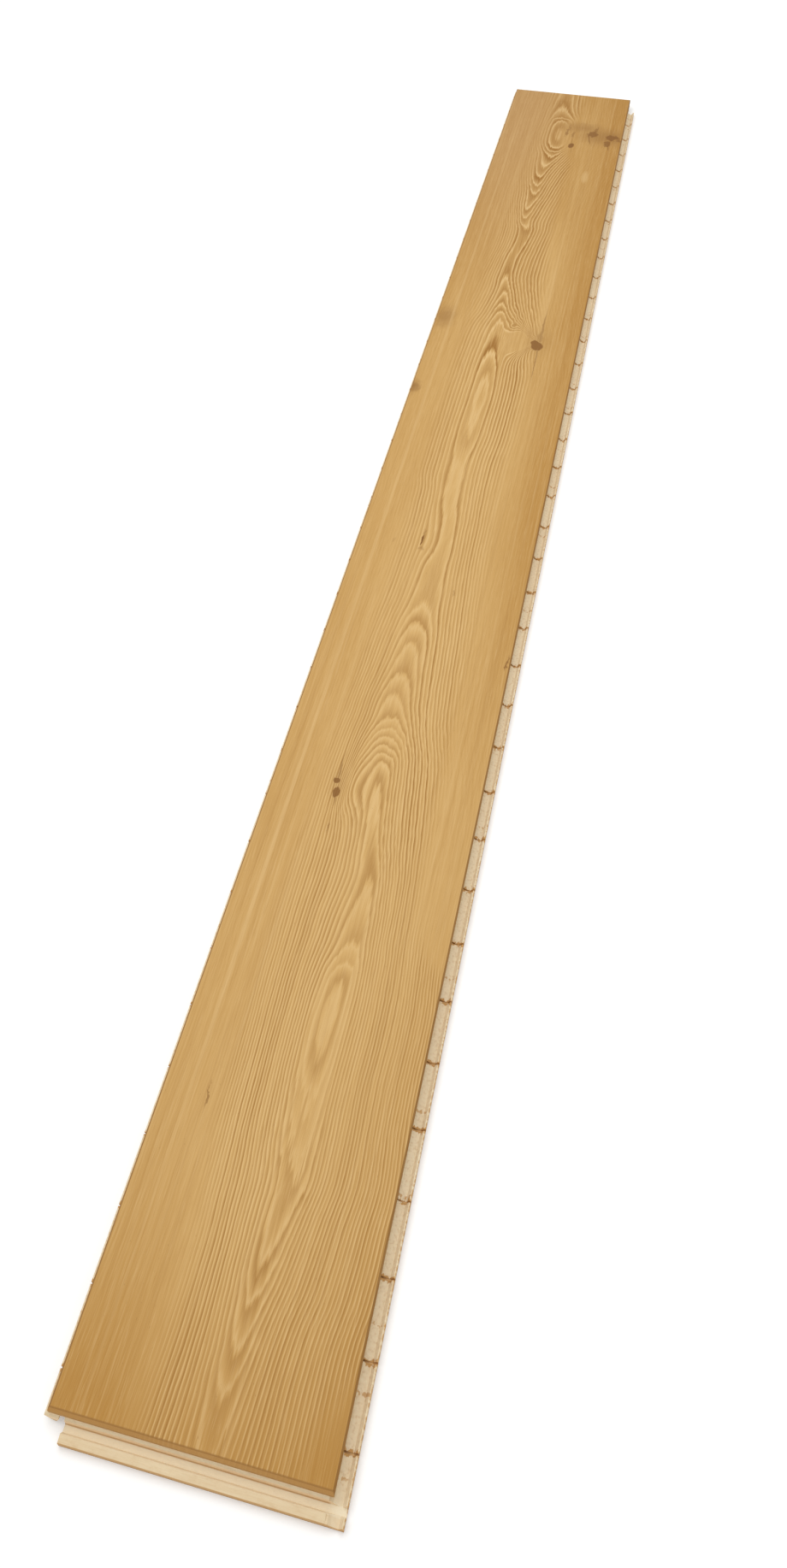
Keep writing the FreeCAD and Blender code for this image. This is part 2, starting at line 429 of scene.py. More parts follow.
@dataclass(frozen=True)
class Fibre:
    """Streaks of fibre: their width and length in millimetres, and a seed."""

    width: float
    length: float
    seed: float

    def draw(self, graph: Graph, effects: Effects, across: Socket, grain: Socket,
             up: object = 0.0) -> Socket:
        """Draw the streaks.

        Args:
            graph: The material's graph.
            effects: The shared node groups.
            across: Place across the grain.
            grain: Place along the grain.
            up: Height over the underside.

        Returns:
            The streaks' socket, about 0.5 on average.
        """
        group = graph.group(effects.fibre, Across=across, Grain=grain, Up=up, Width=self.width,
                            Length=self.length, Seed=self.seed)
        return group.outputs["Streak"]


@dataclass(frozen=True)
class Cloud:
    """A noise over the board: its waves to the millimetre across and along, and a seed."""

    across: float
    along: float
    seed: float = 0.0
    detail: float = 2.0
    roughness: float = 0.5

    def draw(self, graph: Graph, spot: Spot) -> Socket:
        """Draw the noise.

        Args:
            graph: The material's graph.
            spot: The point's place.

        Returns:
            The noise's socket, about 0.5 on average.
        """
        across = graph.product(spot.across, self.across)
        place = graph.join(across, graph.product(spot.along, self.along), self.seed)
        return graph.noise(place, self.detail, self.roughness)


class Mark(Enum):
    """The kinds of flaw on the walking face, with how softly each one ends."""

    KNOT = 0.22
    TORN = 0.3
    STREAK = 0.6
    HAZE = 1.3


@dataclass(frozen=True)
class Flaw:
    """A knot, torn place, streak or haze on the walking face, in board millimetres."""

    across: float
    along: float
    size: Point
    depth: float = 1.0
    kind: Mark = Mark.KNOT

    def away(self, graph: Graph, across: Socket, along: Socket) -> Socket:
        """Give the squared distance from the middle, where 1 is the rim.

        Args:
            graph: The material's graph.
            across: Place across the board.
            along: Place along the board.

        Returns:
            The squared distance socket.
        """
        side = graph.math("DIVIDE", graph.less(across, self.across), self.size[0])
        run = graph.math("DIVIDE", graph.less(along, self.along), self.size[1])
        return graph.math("MULTIPLY_ADD", side, side, graph.product(run, run))

    def draw(self, graph: Graph, across: Socket, along: Socket) -> Socket:
        """Draw the flaw.

        Args:
            graph: The material's graph.
            across: Place across the board.
            along: Place along the board.

        Returns:
            How dark it is, from 0 to 1.
        """
        soft = self.kind.value
        rim = graph.math("SQRT", self.away(graph, across, along))
        return graph.ramp(rim, 1.0 - min(soft, WIDEST_FADE), 1.0 + soft / 2, self.depth, 0.0)


@dataclass(frozen=True)
class Spike:
    """A thin dark line that runs from a knot along the grain, in board millimetres."""

    across: float
    start: float
    finish: float
    width: float
    depth: float
    lean: float = 0.0

    def draw(self, graph: Graph, across: Socket, along: Socket) -> Socket:
        """Draw the spike, widest at its start.

        Args:
            graph: The material's graph.
            across: Place across the board.
            along: Place along the board.

        Returns:
            How dark it is, from 0 to 1.
        """
        share = graph.math("DIVIDE", graph.less(along, self.start), self.finish - self.start)
        middle = graph.math("MULTIPLY_ADD", share, self.lean, self.across)
        half = graph.ramp(share, 0.0, 1.0, self.width, self.width * SPIKE_TIP)
        aside = graph.math("DIVIDE", graph.apart(across, middle), half)
        shade = graph.ramp(aside, *SPIKE_RIM, self.depth, 0.0)
        started = graph.math("GREATER_THAN", share, SPIKE_BACK)
        return graph.product(shade, started, graph.ramp(share, *SPIKE_FADE, 1.0, 0.0))


@dataclass(frozen=True)
class Swell:
    """A place where a branch pushes the growth rings aside, in board millimetres.

    The reach is given to the left, right, back and front.  Rings are pushed no lower than
    the floor.  The flare widens the swell along the board, the further left of the branch.
    """

    across: float
    along: float
    reach: tuple[float, float, float, float]
    rings: float
    floor: float = 0.0
    flare: float = 0.0

    def push(self, graph: Graph, rings: Socket, across: Socket, along: Socket) -> Socket:
        """Push the rings aside round the branch.

        Args:
            graph: The material's graph.
            rings: The ring count without it.
            across: Place across the board.
            along: Place along the board.

        Returns:
            The ring count with it.
        """
        left, right, back, front = self.reach
        beside = graph.math("MAXIMUM", graph.less(self.across, across), 0.0)
        parts = []
        for place, centre, low, high, more in (
            (across, self.across, left, right, 0.0),
            (along, self.along, front, back, graph.product(beside, self.flare)),
        ):
            away = graph.less(place, centre)
            above = graph.math("GREATER_THAN", away, 0.0)
            reach = graph.total(graph.math("MULTIPLY_ADD", above, high - low, low), more)
            share = graph.math("DIVIDE", away, reach)
            parts.append(graph.product(share, share))
        fall = graph.math("POWER", math.e, graph.product(graph.total(*parts), -1.0))
        pushed = graph.total(rings, graph.product(fall, self.rings))
        if self.floor:
            pushed = graph.math("MAXIMUM", pushed, graph.math("MINIMUM", rings, self.floor))
        return pushed


FLAWS = (
    Flaw(131.5, 1127, (7.5, 9.0)),
    Flaw(128, 1133, (5.0, 5.5)),
    Flaw(133, 1146, (5.5, 11), 0.42, Mark.STREAK),
    Flaw(132, 1137, (15, 26), 0.22, Mark.HAZE),
    Flaw(57.7, 462.5, (3.2, 5.6)),
    Flaw(55.6, 474, (2.9, 3.1)),
    Flaw(57, 470, (6, 14), 0.2, Mark.HAZE),
    Flaw(65.5, 775, (1.2, 7.5), 1.3),
    Flaw(67.5, 763, (2.4, 4.0), 0.35, Mark.STREAK),
    Flaw(66.5, 782, (1.6, 10), 0.4, Mark.STREAK),
    Flaw(107.8, 1632, (4.4, 7.5)),
    Flaw(97, 1672, (2.6, 15), 0.62, Mark.STREAK),
    Flaw(106.5, 1668, (3.0, 12), 0.5, Mark.STREAK),
    Flaw(99, 1688, (2.2, 12), 0.5, Mark.STREAK),
    Flaw(136, 1673, (8.0, 10.5), 0.95, Mark.TORN),
    Flaw(139, 1686, (4.5, 9.0), 0.7, Mark.STREAK),
    Flaw(165, 1668, (10.5, 10.0), 1.0, Mark.TORN),
    Flaw(160, 1647, (5.5, 10.0), 0.9, Mark.TORN),
    Flaw(176, 1662, (6.0, 8.0), 0.75, Mark.STREAK),
    Flaw(122, 1690, (28, 15), 0.42, Mark.HAZE),
    Flaw(152, 1668, (34, 24), 0.5, Mark.HAZE),
    Flaw(176.8, 633, (1.6, 10), 0.85, Mark.STREAK),
    Flaw(34.3, 198, (0.9, 8.5), 0.7, Mark.STREAK),
    Flaw(59.5, 428, (0.9, 7.0), 0.5, Mark.STREAK),
    Flaw(111, 709, (1.1, 5.0), 0.35, Mark.STREAK),
    Flaw(37, 767, (1.8, 6.0), 0.22, Mark.STREAK),
    Flaw(2.5, 1020, (7.0, 11), 0.75, Mark.HAZE),
    Flaw(11, 1164, (12, 21), 0.5, Mark.HAZE),
)

PALE_MARKS = (
    Flaw(139, 1543, (4.5, 15), 0.32, Mark.HAZE),
    Flaw(20, 900, (1.6, 900), 0.22, Mark.HAZE),
)

SPIKES = (
    Spike(133.5, 1140, 1218, 2.2, 0.55),
    Spike(133.5, 1120, 1042, 1.3, 0.6, 1.5),
    Spike(56, 474, 512, 1.2, 0.6, -1.0),
    Spike(58.5, 460, 446, 1.0, 0.5, 1.0),
    Spike(108, 1636, 1662, 0.9, 0.45, -1.0),
    Spike(109, 1628, 1598, 0.9, 0.3, 2.0),
    Spike(141, 1684, 1706, 1.8, 0.6, 1.0),
    Spike(130, 1666, 1632, 1.9, 0.75, 7.0),
    Spike(165.5, 1670, 1692, 1.8, 0.6),
    Spike(161, 1644, 1622, 1.7, 0.6, 3.0),
)

SWELLS = (
    Swell(124, 1133, (22, 5, 8, 8), -16.0, 19.67, 1.2),
    Swell(69, 470, (8, 13, 40, 28), -4.2),
    Swell(97, 1160, (4.5, 4.5, 5.5, 5.5), 1.3),
    Swell(74, 778, (7, 9, 38, 26), 0.9),
)


@dataclass(frozen=True)
class Figure:
    """The flame figure of a plank cut a little off the pith, in board millimetres.

    Each list holds places along the board with a value there: where the middle of the
    flame lies and where its flanks are centred, the ring count on the middle, on a line
    left of it and on a line right of it, the width of the rings on either side, and how
    sharply the arches come to a point.
    """

    middle: Curve = (
        (0, 101), (53, 101.5), (79, 102), (103, 102.5), (120, 104), (140, 107), (158, 109),
        (178, 107), (206, 105), (245, 103), (280, 103.5), (316, 106), (334, 107), (384, 106),
        (410, 101), (430, 97), (466, 93), (499, 92), (519, 90), (549, 86), (574, 83), (600, 84),
        (663, 85.5), (694, 86.5), (740, 87), (770, 88.5), (800, 87), (840, 82), (887, 80.5),
        (950, 81), (1020, 83), (1060, 82.5), (1108, 81), (1150, 79), (1190, 77), (1236, 74.5),
        (1275, 69.5), (1310, 70), (1340, 75), (1380, 79), (1400, 75), (1412, 72), (1437, 71),
        (1478, 74.5), (1527, 76), (1557, 78), (1590, 83), (1614, 86), (1664, 86), (1707, 84),
        (1740, 80), (1800, 80),
    )
    flanks: Curve = (
        (0, 101), (100, 102), (150, 105), (350, 104), (400, 101), (430, 98), (466, 93), (500, 90),
        (550, 86), (650, 84), (780, 85), (840, 82), (1100, 81), (1300, 75), (1380, 79), (1450, 75),
        (1600, 82), (1700, 84), (1800, 80),
    )
    count: Curve = (
        (0, 9.65), (28, 9), (53, 8), (79, 7), (103, 6), (158, 5), (206, 4), (245, 3), (270, 2.8),
        (298, 3), (316, 4), (334, 5), (384, 6), (415, 6.4), (466, 7), (482, 7.35), (499, 8),
        (509, 9), (528, 11), (549, 13), (574, 14), (600, 15), (637, 16), (663, 17), (694, 18),
        (740, 18.3), (800, 18.5), (887, 18.72), (948, 18), (1020, 17.65), (1058, 18), (1108, 19),
        (1166, 20), (1190, 21), (1208, 22), (1236, 23), (1271, 24), (1330, 24.5), (1385, 24),
        (1412, 23), (1437, 22), (1478, 21), (1527, 19), (1557, 18), (1590, 17), (1605, 16),
        (1614, 15), (1664, 13.9), (1707, 15), (1717, 16), (1755, 17), (1800, 17.5),
    )
    left_count: Curve = (
        (0, 19), (30, 19.6), (60, 20), (103, 20), (140, 19.2), (180, 18.2), (220, 17.7),
        (262, 17.2), (316, 16.4), (344, 16.3), (384, 16.8), (424, 17), (466, 16.6), (504, 16.2),
        (549, 17.2), (600, 18.6), (663, 19.8), (704, 20.8), (784, 21.3), (840, 21.4), (887, 20.1),
        (960, 20.2), (1020, 20.4), (1104, 20.9), (1144, 21.4), (1190, 23.6), (1240, 25), (1300, 26),
        (1384, 26.6), (1460, 23.6), (1504, 22), (1544, 20.2), (1590, 18.8), (1660, 16.6),
        (1710, 17.2), (1755, 17.5), (1800, 18),
    )
    right_count: Curve = (
        (0, 18), (60, 17.3), (100, 15.1), (140, 13.8), (180, 12.6), (220, 13), (262, 12.8),
        (316, 14.2), (344, 15.5), (384, 16.6), (424, 17.9), (466, 19.8), (504, 21.6), (549, 24.8),
        (600, 26.6), (663, 28.4), (700, 29.5), (800, 31), (900, 30.8), (960, 30), (1040, 30),
        (1108, 31.5), (1144, 32), (1190, 34.5), (1240, 37), (1320, 38), (1400, 37), (1460, 35.8),
        (1530, 33), (1600, 28.5), (1664, 23.5), (1710, 24.5), (1755, 26.5), (1800, 27),
    )
    left_width: Curve = (
        (0, 2.8), (60, 2.65), (103, 2.5), (158, 2.4), (262, 2.2), (344, 2.5), (424, 2.8),
        (466, 2.75), (530, 2.45), (620, 2.8), (700, 3.1), (840, 3.4), (960, 3.7), (1040, 4.0),
        (1240, 4.0), (1340, 3.2), (1460, 3.5), (1660, 3.6), (1800, 3.6),
    )
    right_width: Curve = (
        (0, 3.2), (60, 2.9), (103, 2.75), (158, 2.5), (206, 2.35), (262, 2.25), (344, 2.3),
        (384, 2.5), (424, 2.75), (466, 3.0), (504, 3.05), (620, 3.1), (800, 3.3), (900, 3.7),
        (1040, 3.9), (1240, 4.3), (1320, 4.1), (1460, 3.95), (1600, 4.0), (1800, 4.0),
    )
    tip_slope: Curve = (
        (0, 0.04), (28, 0.05), (53, 0.08), (90, 0.09), (115, 0.06), (158, 0.05), (206, 0.05),
        (250, 0.03), (300, 0.02), (1100, 0.02), (1170, 0.05), (1240, 0.05), (1300, 0.02),
        (1420, 0.03), (1500, 0.04), (1600, 0.04), (1660, 0.02), (1800, 0.03),
    )
    left_line: float = 62.0
    right_line: float = 136.0
    least_breadth: float = 4.0
    flank_reach: float = 22.0
    arch_power: float = 3.3
    steepest_tip: float = 0.2
    tip_reach: float = 20.0
    depth_spread: float = 0.5

    def draw(self, graph: Graph, board: Board, across: Socket, along: Socket,
             depth: Socket) -> Socket:
        """Draw the ring count at a point.

        Args:
            graph: The material's graph.
            board: The board's planes.
            across: Place across the board.
            along: Place along the board.
            depth: Depth under the walking face.

        Returns:
            The ring count socket.
        """
        most = max(height for _, height in self.right_count)
        widest = max(height for _, height in self.right_width + self.left_width)
        middle = graph.curve(along, self.middle, board.length, board.width)
        flanks = graph.curve(along, self.flanks, board.length, board.width)
        count = graph.curve(along, self.count, board.length, most)
        slope = graph.curve(along, self.tip_slope, board.length, self.steepest_tip)
        aside = graph.less(across, flanks)
        far = graph.math("DIVIDE", aside, self.flank_reach)
        hold = graph.math("DIVIDE", 1.0, graph.math("MULTIPLY_ADD", far, far, 1.0))
        offset = graph.less(aside, graph.product(graph.less(middle, flanks), hold))
        is_left = graph.math("LESS_THAN", offset, 0.0)
        widths, breadths = [], []
        for points, spacing, line in ((self.right_count, self.right_width, self.right_line),
                                      (self.left_count, self.left_width, self.left_line)):
            width = graph.curve(along, spacing, board.length, widest)
            outer = graph.curve(along, points, board.length, most)
            reach = graph.apart(flanks, line)
            gained = graph.less(graph.less(outer, count), self.tip(graph, reach, slope))
            breadth = graph.less(reach, graph.product(width, gained))
            widths.append(width)
            breadths.append(graph.math("MAXIMUM", breadth, self.least_breadth))
        width = graph.ramp(is_left, 0.0, 1.0, *widths, smooth=False)
        breadth = graph.ramp(is_left, 0.0, 1.0, *breadths, smooth=False)
        away = graph.math("ABSOLUTE", offset)
        broad = graph.total(breadth, graph.product(depth, self.depth_spread))
        arch = graph.total(*(graph.math("POWER", part, self.arch_power) for part in (away, broad)))
        reach = graph.math("POWER", arch, 1.0 / self.arch_power)
        side = graph.math("DIVIDE", graph.less(reach, breadth), width)
        rings = graph.total(count, side, self.tip(graph, away, slope))
        for swell in SWELLS:
            rings = swell.push(graph, rings, across, along)
        return rings

    def tip(self, graph: Graph, away: Socket, slope: Socket) -> Socket:
        """Give the rings gained beside the middle where the arches come to a point.

        Args:
            graph: The material's graph.
            away: Distance from the middle.
            slope: Rings gained to the millimetre at the middle.

        Returns:
            The gained rings' socket.
        """
        share = graph.math("MULTIPLY_ADD", away, 1 / self.tip_reach, 1.0)
        return graph.product(slope, graph.math("DIVIDE", away, share))


@dataclass(frozen=True)
class StainAndPaintedShade:
    """How dark the ground is: painted shade by the front, back, right and left edge, darker beside
    the flame, and uneven stain.
    """

    front_run: float = 170.0
    front_bend: float = 1.6
    front_shade: float = 0.8
    back_start: float = 850.0
    back_shade: float = 0.55
    right_width: float = 60.0
    right_shade: Curve = (
        (0, 0.3), (450, 0.4), (700, 0.75), (900, 0.95), (1090, 0.68), (1200, 0.8), (1400, 0.65),
        (1800, 0.65),
    )
    left_shade: Ramp = (80.0, 0.0, 0.0, 0.34)
    beside_flame: Band = (96.0, 116.0, 120.0, 144.0)
    beside_rise: Ramp = (1300.0, 1480.0, 0.0, 0.32)
    cloud: Cloud = Cloud(0.02, 0.004, 9.0)
    cloud_depth: Ramp = (0.25, 0.75, -0.14, 0.14)

    def draw(self, graph: Graph, board: Board, spot: Spot) -> Socket:
        """Draw how dark the ground is, from the painted shade and the uneven stain.

        Args:
            graph: The material's graph.
            board: The board's planes.
            spot: The point's place.

        Returns:
            The depth's socket, from 0 to 1.
        """
        across, along = spot.across, spot.along
        # Painted shade: darker toward the front and back ends and the right and left edges.
        from_front = graph.ramp(along, 0.0, self.front_run, 1.0, 0.0, smooth=False)
        front = graph.product(graph.math("POWER", from_front, self.front_bend), self.front_shade)
        back = graph.ramp(along, self.back_start, board.length, 0.0, self.back_shade, smooth=False)
        right_shade = graph.curve(along, self.right_shade, board.length, 1.0)
        right = graph.ramp(across, board.width - self.right_width, board.width)
        left = graph.ramp(across, *self.left_shade)
        beside = graph.product(graph.band(across, self.beside_flame),
                               graph.ramp(along, *self.beside_rise))
        cloudy = graph.ramp(self.cloud.draw(graph, spot), *self.cloud_depth, smooth=False)
        depth = graph.total(front, back, graph.product(right, right_shade), left, beside)
        return graph.math("ADD", depth, cloudy, clamp=True)


@dataclass(frozen=True)
class Clarity:
    """How clearly the growth rings show, by the place along the board.

    They fade out past a limit on the left and one on the right.  Between the two, a strength
    is given for the left flank, the tips in the middle and the right flank.
    """

    left_limit: Curve = (
        (0, 62), (100, 62), (140, 57), (180, 52), (260, 45), (1000, 45), (1800, 50),
    )
    right_limit: Curve = (
        (0, 160), (40, 172), (100, 200), (290, 200), (350, 158), (420, 148), (540, 144), (620, 142),
        (700, 139), (800, 134), (900, 132), (1000, 134), (1100, 132), (1240, 124), (1300, 122),
        (1400, 114), (1500, 114), (1560, 117), (1620, 100), (1655, 92), (1690, 92), (1715, 104),
        (1760, 112), (1800, 114),
    )
    left_strength: Curve = (
        (0, 1.2), (150, 1.3), (300, 1.15), (450, 1.1), (560, 1.05), (750, 0.8), (900, 1.2),
        (1050, 1.0), (1200, 0.95), (1400, 0.8), (1500, 0.55), (1600, 0.35), (1800, 0.4),
    )
    tip_strength: Curve = (
        (0, 0.75), (130, 0.9), (230, 0.6), (350, 0.65), (450, 0.95), (600, 0.8), (750, 1.15),
        (900, 0.9), (1050, 1.4), (1200, 1.9), (1500, 1.6), (1600, 1.8), (1650, 1.1), (1800, 1.2),
    )
    right_strength: Curve = (
        (0, 0.85), (90, 1.1), (180, 1.0), (280, 1.0), (450, 1.25), (600, 1.3), (750, 1.05),
        (900, 1.1), (1050, 1.85), (1200, 1.3), (1400, 1.3), (1500, 1.5), (1800, 1.3),
    )
    most_strength: float = 2.0
    left_fade: Point = (-12.0, 8.0)
    right_fade: Point = (-6.0, 14.0)
    flank_rise: Point = (6.0, 24.0)
    patch: Cloud = Cloud(0.02, 0.008, 4.0)
    patch_strength: Ramp = (0.3, 0.7, 0.7, 1.0)
    shown: Ramp = (0.0, 1.0, 0.08, 1.0)

    def draw(self, graph: Graph, board: Board, figure: Figure, spot: Spot) -> Socket:
        """Draw the strength of the ring lines.

        Args:
            graph: The material's graph.
            board: The board's planes.
            figure: The flame figure.
            spot: The point's place.

        Returns:
            The strength's socket.
        """
        across, along = spot.across, spot.along
        end = graph.curve(along, self.right_limit, board.length, 2 * board.width)
        right = graph.ramp(graph.less(end, across), *self.right_fade)
        start = graph.curve(along, self.left_limit, board.length, board.width)
        left = graph.ramp(graph.less(across, start), *self.left_fade)
        patchy = graph.ramp(self.patch.draw(graph, spot), *self.patch_strength)
        shown = graph.ramp(graph.product(left, right, patchy), *self.shown, smooth=False)
        return graph.product(shown, self.flanks(graph, board, figure, spot))

    def flanks(self, graph: Graph, board: Board, figure: Figure, spot: Spot) -> Socket:
        """Draw the strengths of the left flank, the tips and the right flank.

        Args:
            graph: The material's graph.
            board: The board's planes.
            figure: The flame figure.
            spot: The point's place.

        Returns:
            The strength's socket.
        """
        middle = graph.curve(spot.along, figure.flanks, board.length, board.width)
        away = graph.less(spot.across, middle)
        left, centre, right = (graph.curve(spot.along, points, board.length, self.most_strength)
                               for points in (self.left_strength, self.tip_strength,
                                              self.right_strength))
        near, far = self.flank_rise
        strength = graph.ramp(away, -far, -near, left, centre)
        past = graph.less(right, centre)
        return graph.total(strength, graph.product(graph.ramp(away, near, far), past))


@dataclass(frozen=True)
class StainedLamella:
    """Honey-stained softwood with knots, matt oiled, darker where the cut is across the grain."""

    name: str = "honey_stained_softwood"
    honey: Color = tone(206, 166, 103)
    deep: Color = tone(178, 131, 62)
    grey: Color = tone(186, 145, 93)
    late: Color = tone(158, 111, 50)
    early: Color = tone(224, 190, 134)
    edge: Color = tone(144, 101, 48)
    end: Color = tone(178, 132, 74)
    knot: Color = tone(132, 88, 38)
    pore: Color = tone(128, 88, 42)
    roughness: float = 0.6
    relief: float = 0.06 * MM
    figure: Figure = Figure()
    clarity: Clarity = Clarity()
    # How dark the ground is: painted shade at the edges and ends, and uneven stain.
    stain_and_shade: StainAndPaintedShade = StainAndPaintedShade()
    late_share: float = 0.85
    early_share: float = 0.5
    late_dulling: float = 0.08
    late_relief: float = -0.5
    fibre: Fibre = Fibre(0.55, 22.0, 3.0)
    fibre_dulling: float = 0.06
    fibre_relief: float = 0.45
    dark_fibre: Wash = Wash(0.5, 0.85, 0.42, late)
    pale_fibre: Wash = Wash(0.5, 0.2, 0.32, early)
    streaks: tuple[tuple[Fibre, float], ...] = (
        (Fibre(9.0, 900.0, 1.0), 0.2), (Fibre(2.6, 260.0, 5.0), 0.22),
    )
    streak_ends: Point = (0.75, 0.25)
    # Painted shade: a grey tone over the far left part of the board.
    grey_side: Wash = Wash(130.0, 20.0, 0.75, grey)
    grey_rise: Point = (1150.0, 1700.0)
    pores: Cloud = Cloud(1.9, 0.32, 11.0, 1.0)
    pore_range: Point = (0.74, 0.82)
    pore_share: float = 0.6
    pore_relief: float = -0.5
    slow_bend: Cloud = Cloud(0.025, 0.008)
    slow_reach: float = 1.5
    quick_bend: Cloud = Cloud(0.11, 0.032, 7.0)
    quick_reach: Point = (0.5, 5.0)
    torn_wave: Cloud = Cloud(0.5, 0.028, 2.0, 3.0)
    torn_stretch: Band = (135.0, 160.0, 205.0, 235.0)
    torn_tips: Ramp = (0.0, 1.0, 0.32, 0.85)
    torn_fade: Point = (6.0, 18.0)
    torn_sides: float = 0.12
    side_fray: Cloud = Cloud(0.16, 0.09, 5.0, 3.0, 0.6)
    run_fray: Cloud = Cloud(0.13, 0.1, 15.0, 3.0, 0.6)
    mark_fray: Point = (6.0, 10.0)
    knot_fray: Point = (2.2, 3.5)
    spike_fray: float = 1.5
    mark_share: float = 0.92
    edge_tilt: Ramp = (0.98, 0.9, 0.0, 0.86)
    end_tilt: Point = (0.2, 0.4)
    brow: Band = (1.5, 2.0, 2.4, 3.0)
    brow_share: float = 0.6

    def build(self, effects: Effects, board: Board) -> bpy.types.Material:
        """Build the material.

        Args:
            effects: The shared node groups.
            board: The board's planes.

        Returns:
            The material.
        """
        material, graph, shader = new_material(self.name)
        spot = Spot.find(graph, effects)
        rings = graph.group(effects.rings, Count=self.ring_count(graph, board, spot))
        clear = self.clarity.draw(graph, board, self.figure, spot)
        late, early = (graph.product(rings.outputs[name], clear) for name in ("Late", "Early"))
        color = self.ground(graph, effects, board, spot)
        color = graph.mix(graph.product(late, self.late_share), color, self.late)
        color = graph.mix(graph.product(early, self.early_share), color, self.early)
        fine = self.fibre.draw(graph, effects, spot.across, spot.along, spot.up)
        for wash in (self.dark_fibre, self.pale_fibre):
            color = graph.wash(color, fine, wash)
        pores = graph.ramp(self.pores.draw(graph, spot), *self.pore_range)
        color = graph.mix(graph.product(pores, self.pore_share), color, self.pore)
        color = graph.mix(graph.product(self.marks(graph, spot), self.mark_share), color, self.knot)
        for flaw in PALE_MARKS:
            pale = graph.ramp(flaw.away(graph, spot.across, spot.along), *PALE_FADE, flaw.depth, 0.0)
            color = graph.mix(pale, color, self.early)
        graph.feed(shader.inputs["Base Color"], self.cut_edges(graph, color, spot))
        dull = graph.total(self.roughness, graph.product(late, self.late_dulling),
                           graph.product(fine, self.fibre_dulling))
        graph.feed(shader.inputs["Roughness"], dull)
        height = graph.total(graph.product(late, self.late_relief),
                             graph.product(fine, self.fibre_relief),
                             graph.product(pores, self.pore_relief))
        add_bump(graph, shader, height, self.relief)
        return material

    def ring_count(self, graph: Graph, board: Board, spot: Spot) -> Socket:
        """Count the rings of the flame, bent a little as growth does, with torn-looking tips.

        Args:
            graph: The material's graph.
            board: The board's planes.
            spot: The point's place.

        Returns:
            The ring count socket.
        """
        slow = graph.sway(self.slow_bend.draw(graph, spot), self.slow_reach)
        quick = self.quick_bend.draw(graph, spot)
        side, run = (graph.sway(quick, reach) for reach in self.quick_reach)
        depth = graph.less(board.top, spot.up)
        count = self.figure.draw(graph, board, graph.total(spot.across, slow, side),
                                 graph.total(spot.along, run), depth)
        middle = graph.curve(spot.along, self.figure.middle, board.length, board.width)
        wave = graph.sway(self.torn_wave.draw(graph, spot), 1.0)
        torn = graph.ramp(graph.band(spot.along, self.torn_stretch), *self.torn_tips)
        share = graph.ramp(graph.apart(spot.across, middle), *self.torn_fade, torn, self.torn_sides)
        return graph.total(count, graph.product(wave, share))

    def ground(self, graph: Graph, effects: Effects, board: Board, spot: Spot) -> Socket:
        """Draw the ground under the rings: stain with painted shade, a grey far side that is painted
        shade too, and long streaks.

        Args:
            graph: The material's graph.
            effects: The shared node groups.
            board: The board's planes.
            spot: The point's place.

        Returns:
            The ground's colour socket.
        """
        # Painted shade by the edges and ends, with the uneven stain, darkens the honey toward the
        # deep tone.
        color = graph.mix(self.stain_and_shade.draw(graph, board, spot), self.honey, self.deep)
        # Painted shade: the far end greys on its left side.
        grey_run = graph.ramp(spot.along, *self.grey_rise)
        color = graph.wash(color, spot.across, self.grey_side, grey_run)
        for fibre, strength in self.streaks:
            streak = fibre.draw(graph, effects, spot.across, spot.along)
            for end, shade in zip(self.streak_ends, (self.early, self.late)):
                color = graph.wash(color, streak, Wash(NOISE_MEAN, end, strength, shade))
        return color

    def marks(self, graph: Graph, spot: Spot) -> Socket:
        """Draw the knots, nearly clean, and the frayed spikes, streaks and brown patches.

        Args:
            graph: The material's graph.
            spot: The point's place.

        Returns:
            How dark the marks are, from 0 to 1.
        """
        side = self.side_fray.draw(graph, spot)
        run = self.run_fray.draw(graph, spot)
        frayed, clean = (
            (graph.total(spot.across, graph.sway(side, across)),
             graph.total(spot.along, graph.sway(run, along)))
            for across, along in (self.mark_fray, self.knot_fray)
        )
        wavy = graph.total(spot.across, graph.sway(side, self.spike_fray))
        shades = [flaw.draw(graph, *(clean if flaw.kind is Mark.KNOT else frayed)) for flaw in FLAWS]
        shades += [spike.draw(graph, wavy, spot.along) for spike in SPIKES]
        return reduce(lambda first, second: graph.math("MAXIMUM", first, second), shades, 0.0)

    def cut_edges(self, graph: Graph, color: Socket, spot: Spot) -> Socket:
        """Darken the bevels, sides and ends, and draw the dark line behind the front bevel.

        Args:
            graph: The material's graph.
            color: The colour of the face.
            spot: The point's place.

        Returns:
            The colour socket.
        """
        _, end, face = graph.split(graph.add("NewGeometry").outputs["True Normal"])
        upright = graph.ramp(graph.math("ABSOLUTE", face), *self.edge_tilt)
        ends = graph.ramp(graph.math("ABSOLUTE", end), *self.end_tilt)
        color = graph.mix(upright, color, graph.mix(ends, self.edge, self.end))
        brow = graph.product(graph.band(spot.along, self.brow), self.brow_share)
        return graph.mix(brow, color, self.edge)


